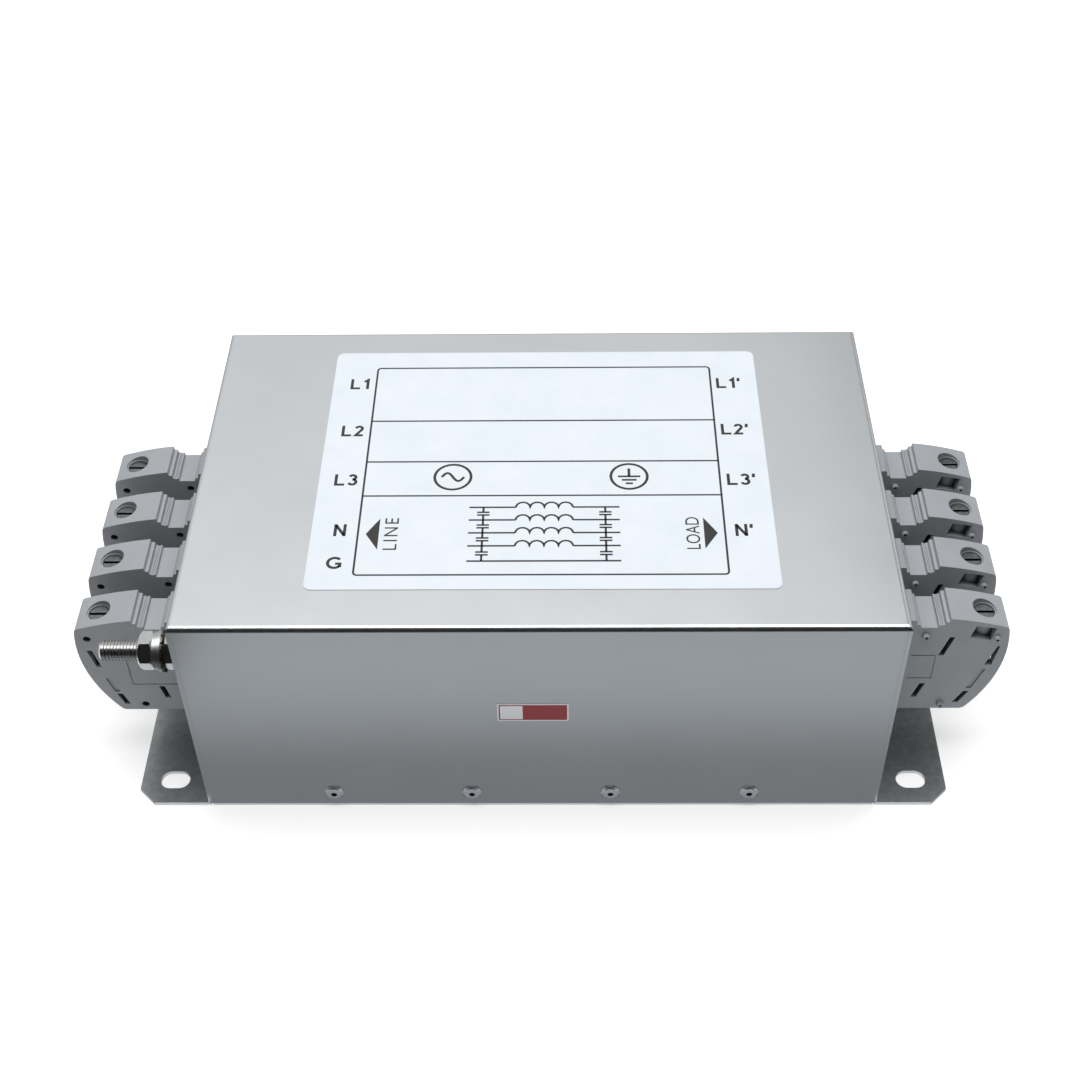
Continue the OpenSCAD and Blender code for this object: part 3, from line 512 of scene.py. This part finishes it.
# %% Printed terminal marks
MARK_CAP = 6.6
MARK_W = 1.2
GLYPHS = {
    "L": ([[(0, 1.1), (0, 0), (0.64, 0)]], 0.6),
    "1": ([[(-0.02, 0.76), (0.25, 1.0), (0.25, -0.1)]], 0.27),
    "2": ([arc(0.23, 0.75, 0.24, 170, -38, 9) + [(0, 0), (0.56, 0)]], 0.47),
    "3": ([arc(0.24, 0.77, 0.23, 160, -90, 9), arc(0.24, 0.27, 0.27, 90, -160, 9)], 0.5),
    "N": ([[(0, -0.1), (0, 1.1)], [(0.02, 1.0), (0.64, 0)], [(0.66, -0.1), (0.66, 1.1)]], 0.66),
    "G": ([arc(0.45, 0.5, 0.48, 42, 322, 16), [(0.84, 0.08), (0.84, 0.42), (0.5, 0.42)]], 0.84),
    "'": ([[(0.04, 1.1), (0, 0.7)]], 0.03),
}
GLYPH_GAP = 0.36


def mark(bm, text, at):
    """A mark drawn in strokes and centred on a point."""
    scale = MARK_CAP - MARK_W
    x = -(sum(GLYPHS[c][1] for c in text) + GLYPH_GAP * (len(text) - 1)) / 2
    for c in text:
        for line in GLYPHS[c][0]:
            stroke(bm, [(at[0] + (x + u) * scale, at[1] + (v - 0.5) * scale) for u, v in line], MARK_W)
        x += GLYPHS[c][1] + GLYPH_GAP


marks = bmesh.new()
for text, x, y in (("L1", -75.8, 51.3), ("L2", -76.3, 21.6), ("L3", -76.3, -7.6), ("N", -76.0, -35.8),
                   ("G", -76.6, -53.2), ("L1'", 78.1, 50.9), ("L2'", 78.7, 21.7), ("L3'", 79.1, -8.1),
                   ("N'", 78.1, -36.4)):
    mark(marks, text, (x, y))
finish_piece("label_terminal_marks", marks, dark_ink)

# %% [markdown]
# ## Arrows and directions
# Two filled arrows point from the circuit to the two rows of terminals, with the words LINE and
# LOAD beside them, as on any filter of this kind. The words run upwards.

# %% Printed arrows and words
ARROW_Y = -37.9
ARROW_HALF = 8.4
arrows = bmesh.new()
solid_outline(arrows, [(-66.0, ARROW_Y), (-61.0, ARROW_Y - ARROW_HALF), (-61.0, ARROW_Y + ARROW_HALF)])
solid_outline(arrows, [(68.0, ARROW_Y), (62.8, ARROW_Y + ARROW_HALF), (62.8, ARROW_Y - ARROW_HALF)])
lettering(arrows, "LINE", (-56.4, ARROW_Y), 5.2, turn=90, spacing=1.22)
lettering(arrows, "LOAD", (58.5, ARROW_Y), 5.3, turn=90, stretch=0.87)
finish_piece("label_arrows", arrows, dark_ink)

# %% [markdown]
# ## The circuit diagram
# The space for the rating shows the circuit instead: four conductors, each through a coil on the
# common core, capacitors between them and to earth. Coils are rows of half circles, and
# capacitors are two short bars, so all of it is strokes.

# %% Circuit diagram
WIRE_Y = (-23.5, -30.5, -37.5, -44.5)
EARTH_Y = -52.5
DIAGRAM = (-27.0, 31.0)
COIL = (-9.0, 13.0)
BUMPS = 4
INK_W = 0.85


def capacitor(bm, x, high, low, reach=2.4, gap=1.5):
    middle = (high + low) / 2
    stroke(bm, [(x, high), (x, middle + gap / 2)], INK_W)
    stroke(bm, [(x, middle - gap / 2), (x, low)], INK_W)
    for y in (middle + gap / 2, middle - gap / 2):
        stroke(bm, [(x - reach, y), (x + reach, y)], INK_W)


diagram = bmesh.new()
for y in WIRE_Y:
    stroke(diagram, [(DIAGRAM[0], y), (COIL[0], y)], INK_W)
    stroke(diagram, [(COIL[1], y), (DIAGRAM[1], y)], INK_W)
    r = (COIL[1] - COIL[0]) / BUMPS / 2
    turns = [p for i in range(BUMPS) for p in arc(COIL[0] + r * (2 * i + 1), y, r, 180, 0, 8)[i > 0:]]
    stroke(diagram, turns, INK_W)
for x in (DIAGRAM[0] + 5.5, DIAGRAM[1] - 5.5):
    for high, low in zip(WIRE_Y, WIRE_Y[1:]):
        capacitor(diagram, x, high, low)
    capacitor(diagram, x, WIRE_Y[-1], EARTH_Y)
stroke(diagram, [(DIAGRAM[0], EARTH_Y), (DIAGRAM[1], EARTH_Y)], INK_W)
finish_piece("label_circuit_diagram", diagram, dark_ink)

# %% [markdown]
# ## Signs
# The third row holds two standard signs: alternating current, a sine wave in a ring, and protective
# earth, three bars under a stem in a ring.

# %% Printed signs
SIGN_Y = -6.2
SIGN_R = 7.2
SIGN_W = 1.1
AC_X, EARTH_X = -34.2, 35.2
WAVE_HALF, WAVE_RISE = 4.4, 2.3
signs = bmesh.new()
for x in (AC_X, EARTH_X):
    stroke(signs, arc(x, SIGN_Y, SIGN_R, 0, 345, 23), SIGN_W, closed=True)
phases_of_wave = [i / 20 for i in range(21)]
stroke(signs, [(AC_X + WAVE_HALF * (2 * p - 1), SIGN_Y + WAVE_RISE * math.sin(2 * math.pi * p))
               for p in phases_of_wave], SIGN_W)
stroke(signs, [(EARTH_X, SIGN_Y + 4.6), (EARTH_X, SIGN_Y)], SIGN_W)
for half, drop in ((4.4, 0.0), (2.9, 2.0), (1.4, 4.0)):
    stroke(signs, [(EARTH_X - half, SIGN_Y - drop), (EARTH_X + half, SIGN_Y - drop)], 1.0)
finish_piece("label_signs", signs, dark_ink)

# %% [markdown]
# ## The plate on the front
# The small plate in the middle of the front panel is bright aluminium foil, printed with a red field
# that leaves a rim and a window on the left. Both stay blank. One function makes all three layers:
# a thin slab with rounded corners, each standing 0.02 mm prouder than the one behind it.

# %% Front plate
front_low, front_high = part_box("case_cover")
FRONT_Y = front_low[1]
PLATE_AT = (-2.45, 59.2)
PLATE = (27.2, 10.1)
RIM = 0.6


def front_slab(name, size, radius, back, proud, material, shift=0.0):
    bm = bmesh.new()
    w, h = size[0] / 2 - radius, size[1] / 2 - radius
    middle = PLATE_AT[0] + shift
    outline = [
        p for sx, sy, start in ((1, 1, 0), (-1, 1, 90), (-1, -1, 180), (1, -1, 270))
        for p in arc(middle + sx * w, PLATE_AT[1] + sy * h, radius, start, start + 90, 5)
    ]
    near = [bm.verts.new((x * MM, FRONT_Y - proud * MM, z * MM)) for x, z in outline]
    far = [bm.verts.new((x * MM, FRONT_Y - back * MM, z * MM)) for x, z in outline]
    bm.faces.new(near)
    bm.faces.new(far)
    for i in range(len(outline)):
        j = (i + 1) % len(outline)
        bm.faces.new((near[i], near[j], far[j], far[i]))
    return finish_piece(name, bm, material)


foil = rolled_steel("aluminium_foil", "#f8f9fa", "#fcfdfd", 0.32, 0.02, 2.0)
red_ink = ink("red_ink", "#a8363a")
field = (PLATE[0] - 2 * RIM, PLATE[1] - 2 * RIM)
window = (8.6, field[1] - 1.1)
front_slab("front_plate", PLATE, 0.5, -0.02, 0.15, foil)
front_slab("front_plate_field", field, 0.3, 0.1, 0.17, red_ink)
front_slab("front_plate_window", window, 0.2, 0.12, 0.19, foil, shift=(window[0] - field[0]) / 2 + 0.5)

# %% [markdown]
# ## Closed corners
# Front and rear panels are folded down between the end walls, and on the real case the seam is hardly
# seen, because it is welded from behind and rubbed flat. A thin bead fills each of the four gaps
# that the model leaves there, a hundredth of a millimetre below the faces.

# %% Corner seams
SHEET = 1.5 * MM
SEAM = 0.25 * MM
BEND_R = 2.0 * MM
CASE_END_X = 0.135
SEAM_TOP = front_high[2] - BEND_R
SEAM_FOOT = 0.3 * MM
seams = bmesh.new()
for sx in (-1, 1):
    for sy in (-1, 1):
        outer, inner_x = sx * (CASE_END_X - SHEET), sx * (CASE_END_X - SHEET - SEAM)
        face, back = sy * (-FRONT_Y - 0.01 * MM), sy * (-FRONT_Y - SHEET * 0.8)
        made = bmesh.ops.create_cube(seams, size=1.0)["verts"]
        for v in made:
            v.co = (outer if v.co.x > 0 else inner_x, face if v.co.y > 0 else back,
                    SEAM_TOP if v.co.z > 0 else SEAM_FOOT)
finish_piece("corner_seams", seams, case_steel)

# %% [markdown]
# ## Mandrel stubs
# A blind rivet is set by pulling a mandrel through it until the mandrel snaps. Its stub stays in the
# head's hole, broken off rough. The stub is real, but its near-black colour is painted shade of the
# hole, and that dark dot is what tells a blind rivet from a solid one. Each stub is a short cylinder
# that fills the hole's lower part.

# %% Rivet mandrels
RIVET_XS = [(i - 1.5) * 55.5 for i in range(4)]
RIVET_Z = 8.6
HOLE_R = 1.17
STUB = (0.48, 0.7)
# The near-black colour of the stubs is painted shade for the rivets' holes.
mandrel_shade = plated("mandrel_painted_shade", "#17181a", "#232427", 0.5, 0.05)
mandrels = bmesh.new()
for sy in (-1, 1):
    for at in RIVET_XS:
        rims = [
            [mandrels.verts.new((x * MM, sy * (out * MM - FRONT_Y), z * MM))
             for x, z in arc(at, RIVET_Z, HOLE_R, 0, 345, 23)]
            for out in STUB
        ]
        for rim in rims:
            mandrels.faces.new(rim)
        for i in range(24):
            j = (i + 1) % 24
            mandrels.faces.new((rims[0][i], rims[0][j], rims[1][j], rims[1][i]))
finish_piece("rivet_mandrels", mandrels, mandrel_shade)

# %% [markdown]
# ## The rolled thread
# The stud is M8 with a pitch of 1.25 mm. A rolled thread's flanks meet at 60 degrees, its crests are
# slightly rounded and its roots more so. The surface is a fine grid round the axis, and the radius at
# each point follows from how far along its turn of the helix it lies. Inside the nuts, out of sight,
# it is cut down to the pitch diameter, as their bores are plain. The hexagon head stays in the case
# and is part of the same piece.

# %% Threaded stud
stud_low, stud_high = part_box("ground_stud")
STUD_Y = (stud_low[1] + stud_high[1]) / 2
STUD_Z = (stud_low[2] + stud_high[2]) / 2
STUD_TIP = stud_low[0]
PITCH = 1.25 * MM
CREST_R = 4.0 * MM
THREAD_DEPTH = 0.68 * MM
IN_NUT_R = 3.59 * MM
TIP_CHAMFER = 0.95 * MM
HEAD_T = 5.3 * MM
HEAD_AF = 13 * MM
ROUND = 64
STEPS = 14


def thread_radius(x, turn):
    phase = (x / PITCH + turn) % 1.0
    ramp = abs(phase - 0.5) * 2
    flank = min(1.0, max(0.0, (ramp - 0.12) / 0.66))
    soft = flank * flank * (3 - 2 * flank) * 0.35 + flank * 0.65
    return CREST_R - THREAD_DEPTH * soft


nut_spans = [(low[0], high[0]) for low, high in map(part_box, ("stud_lock_nut", "ground_nut"))]
stud = bmesh.new()
head_back = stud_high[0]
head_face = head_back - HEAD_T
length = head_face - STUD_TIP
rings = []
count = int(length / PITCH * STEPS)
for i in range(count + 1):
    x = length * i / count
    from_tip = length - x
    limit = CREST_R - max(0.0, TIP_CHAMFER - from_tip)
    if any(low <= head_face - x <= high for low, high in nut_spans):
        limit = IN_NUT_R
    ring = []
    for j in range(ROUND):
        turn = j / ROUND
        r = min(thread_radius(x, turn), limit)
        a = 2 * math.pi * turn
        ring.append(stud.verts.new((head_face - x, STUD_Y + r * math.cos(a), STUD_Z + r * math.sin(a))))
    rings.append(ring)
for a, b in zip(rings, rings[1:]):
    for j in range(ROUND):
        k = (j + 1) % ROUND
        stud.faces.new((a[j], a[k], b[k], b[j]))
stud.faces.new(rings[-1])
head_r = HEAD_AF / math.cos(math.radians(30)) / 2
hexes = [
    [stud.verts.new((x, STUD_Y + head_r * math.sin(math.radians(60 * i)),
                     STUD_Z + head_r * math.cos(math.radians(60 * i)))) for i in range(6)]
    for x in (head_face, head_back)
]
stud.faces.new(hexes[0])
stud.faces.new(hexes[1])
for i in range(6):
    stud.faces.new((hexes[0][i], hexes[0][(i + 1) % 6], hexes[1][(i + 1) % 6], hexes[1][i]))
stud.faces.new(rings[0])
stud_piece = finish_piece("threaded_stud", stud, thread_plating, smooth=True)
for face in stud_piece.data.polygons:
    if len(face.vertices) > 4 or face.normal.x < -0.99:
        face.use_smooth = False
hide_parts("ground_stud")

# %% [markdown]
# ## Floor
# The filter lies on a plain white table. A diffuse floor alone turns grey where the lamp is far, so
# part of its white is a glow that only the camera, reflections and refractions see. It lights nothing, so the
# filter keeps its shadow, and it grows with distance, so that the table stays white to the horizon.

# %% White table
def stage_plane(name, corners, material):
    mesh = bpy.data.meshes.new(name)
    mesh.from_pydata([Vector(c) for c in corners], [], [range(len(corners))])
    mesh.materials.append(material)
    card = bpy.data.objects.new(name, mesh)
    bpy.context.scene.collection.objects.link(card)
    return card


def seen_rays(tree):
    """1 where the camera, a reflection or a refraction looks, 0 for light that spreads."""
    rays = add(tree, "ShaderNodeLightPath").outputs
    direct = add(tree, "ShaderNodeMath", {"operation": "MAXIMUM"})
    tree.links.new(rays["Is Camera Ray"], direct.inputs[0])
    tree.links.new(rays["Is Glossy Ray"], direct.inputs[1])
    seen = add(tree, "ShaderNodeMath", {"operation": "MAXIMUM"})
    tree.links.new(direct.outputs[0], seen.inputs[0])
    tree.links.new(rays["Is Transmission Ray"], seen.inputs[1])
    return seen.outputs[0]


GLOW_NEAR, GLOW_FAR = 0.5, 0.86
FLOOR = 30.0
floor_material, tree = blank_material("white_table")
away = add(tree, "ShaderNodeVectorMath", {"operation": "LENGTH"}, Vector=object_space(tree).outputs[0])
settings = {"From Min": 0.8, "From Max": 2.5, "To Min": GLOW_NEAR, "To Max": GLOW_FAR}
by_distance = add(tree, "ShaderNodeMapRange", settings, Value=away.outputs["Value"])
lift = product(tree, seen_rays(tree), by_distance.outputs[0])
table = add(tree, "ShaderNodeBsdfDiffuse", {"Color": linear("#f1f1f1")})
glow = add(tree, "ShaderNodeEmission", {"Color": linear("#ffffff")}, Strength=lift)
both_shaders = add(tree, "ShaderNodeAddShader")
tree.links.new(table.outputs[0], both_shaders.inputs[0])
tree.links.new(glow.outputs[0], both_shaders.inputs[1])
end = add(tree, "ShaderNodeOutputMaterial")
tree.links.new(both_shaders.outputs[0], end.inputs[0])
corners = [(-FLOOR, -FLOOR, 0), (FLOOR, -FLOOR, 0), (FLOOR, FLOOR, 0), (-FLOOR, FLOOR, 0)]
stage_plane("floor", corners, floor_material)
print("floor laid,", 2 * FLOOR, "m wide")

# %% [markdown]
# ## Cards for the steel to mirror
# A metal shows its surroundings more than its own colour, so a studio sets cards round
# it. Black ones in front and above give the dark line along the folded edge. The one on the table
# gives the front panel its slow fade from light at the top to dark at the foot: it glows by itself, less
# the nearer it is to the filter. The filter's own colours stay true, because no card casts light or shade.

# %% Finishes of the cards
def matt_card(name, code):
    material, tree = blank_material(name)
    card = add(tree, "ShaderNodeBsdfDiffuse", {"Color": linear(code)})
    end = add(tree, "ShaderNodeOutputMaterial")
    tree.links.new(card.outputs[0], end.inputs[0])
    return material


black_card = matt_card("black_card", "#1c1c1c")
dim_card = matt_card("dim_card", "#4c4c4c")
grey_card = matt_card("grey_card", "#a0a0a0")
fading_card, tree = blank_material("fading_card")
place = add(tree, "ShaderNodeSeparateXYZ", Vector=object_space(tree).outputs[0])
settings = {"From Min": -0.112, "From Max": -0.15, "To Min": 0.335, "To Max": 0.655}
fade = add(tree, "ShaderNodeMapRange", settings, Value=place.outputs[1])
card = add(tree, "ShaderNodeEmission", {"Color": linear("#f7fbff")}, Strength=fade.outputs[0])
end = add(tree, "ShaderNodeOutputMaterial")
tree.links.new(card.outputs[0], end.inputs[0])
print("cards in", black_card.name, dim_card.name, grey_card.name, fading_card.name)

# %% [markdown]
# ## Placing the cards
# Two cards lean in front, three lie on the table, a millimetre apart in height, and one hangs flat on
# the right, far behind. The table card has a step in its far edge, so that it comes up to the front
# panel but leaves the flanges their own reflection. All are hidden from the camera and from diffuse,
# shadow and transmission rays, which leaves only glossy ones.

# %% Cards
def flat(left, right, near, far, height):
    return [(left, near, height), (right, near, height), (right, far, height), (left, far, height)]


def leaning(width, near, low, far, high):
    """A card across the whole front that leans from one line to another."""
    return [(-width, near, low), (width, near, low), (width, far, high), (-width, far, high)]


NEAR_EDGE = -0.4
PANEL_EDGE = -0.0866
FLANGE_EDGE = -0.0895
CARD_REACH = 1.2
CARD_Z = 0.001
table_outline = [
    (-CARD_REACH, NEAR_EDGE, CARD_Z), (CARD_REACH, NEAR_EDGE, CARD_Z), (CARD_REACH, FLANGE_EDGE, CARD_Z),
    (CASE_END_X, FLANGE_EDGE, CARD_Z), (CASE_END_X, PANEL_EDGE, CARD_Z),
    (-CASE_END_X, PANEL_EDGE, CARD_Z), (-CASE_END_X, FLANGE_EDGE, CARD_Z), (-CARD_REACH, FLANGE_EDGE, CARD_Z),
]
cards = [
    stage_plane("front_card", leaning(1.6, -0.42, 0.03, -0.8, 1.0), black_card),
    stage_plane("brow_card", leaning(1.6, -0.8, 1.0, -0.42, 1.2), black_card),
    stage_plane("table_card", table_outline, fading_card),
    stage_plane("stud_card", flat(-0.27, -0.165, -0.22, -0.1, 0.002), dim_card),
    stage_plane("far_card", flat(-1.6, 1.6, -0.9, -0.235, 0.003), black_card),
    stage_plane("side_card", flat(0.6, 1.6, 0.8, 2.4, 1.5), grey_card),
]
for card in cards:
    card.visible_camera = False
    card.visible_diffuse = False
    card.visible_shadow = False
    card.visible_transmission = False
print(len(cards), "cards")

# %% [markdown]
# ## World
# The world is plain white where it is seen, straight or in the steel, and much dimmer as a light, so
# that the lamp gives the shapes their shading and pale surfaces stay below white.

# %% World
world = bpy.data.worlds.new("studio")
bpy.context.scene.world = world
world.use_nodes = True
tree = world.node_tree
tree.nodes.clear()
settings = {"To Min": 0.2, "To Max": 1.0}
level = add(tree, "ShaderNodeMapRange", settings, Value=seen_rays(tree))
sky = add(tree, "ShaderNodeBackground", {"Color": linear("#ffffff")}, Strength=level.outputs[0])
end = add(tree, "ShaderNodeOutputWorld")
tree.links.new(sky.outputs[0], end.inputs[0])
print("world light", settings["To Min"], "seen as", settings["To Max"])

# %% [markdown]
# ## Lamp
# One large soft lamp hangs above the filter, a little to the rear. The steel shows it as the white
# line along the folded edge, and its size makes the shadows under the terminals soft.

# %% Overhead lamp
def soft_lamp(name, at, look_at, size, power):
    lamp = bpy.data.lights.new(name, "AREA")
    lamp.shape = "RECTANGLE"
    lamp.size, lamp.size_y = size
    lamp.energy = power
    holder = bpy.data.objects.new(name, lamp)
    holder.location = at
    holder.rotation_euler = (Vector(look_at) - Vector(at)).to_track_quat("-Z", "Y").to_euler()
    bpy.context.scene.collection.objects.link(holder)
    print(name, power, "W")


soft_lamp("overhead_lamp", (0.0, 0.05, 1.35), (0.0, 0.0, 0.1), (1.3, 0.9), 15.6)

# %% [markdown]
# ## Camera
# A slightly long lens looks from the front, 45 degrees down, with the small roll and turn of a hand-set
# tripod. Its matrix is built from three directions at right angles: right, up and forward.

# %% Camera
LENS_MM = 55.0
SENSOR_MM = 36.0
PITCH_DOWN = math.radians(45.02)
YAW = math.radians(-1.39)
ROLL = math.radians(-1.17)
AT = (0.0112, -0.4832, 0.5489)
ahead = math.cos(PITCH_DOWN)
forward = Vector((math.sin(YAW) * ahead, math.cos(YAW) * ahead, -math.sin(PITCH_DOWN)))
level_right = Vector((math.cos(YAW), -math.sin(YAW), 0.0))
level_up = level_right.cross(forward)
right = math.cos(ROLL) * level_right + math.sin(ROLL) * level_up
up = math.cos(ROLL) * level_up - math.sin(ROLL) * level_right
camera_data = bpy.data.cameras.new("camera")
camera_data.lens = LENS_MM
camera_data.sensor_width = SENSOR_MM
camera = bpy.data.objects.new("camera", camera_data)
camera.matrix_world = Matrix([(right[i], up[i], -forward[i], AT[i]) for i in range(3)] + [(0, 0, 0, 1)])
bpy.context.scene.collection.objects.link(camera)
bpy.context.scene.camera = camera
bpy.context.scene.view_settings.view_transform = "Standard"
print("camera", [round(c, 3) for c in camera.matrix_world.translation])
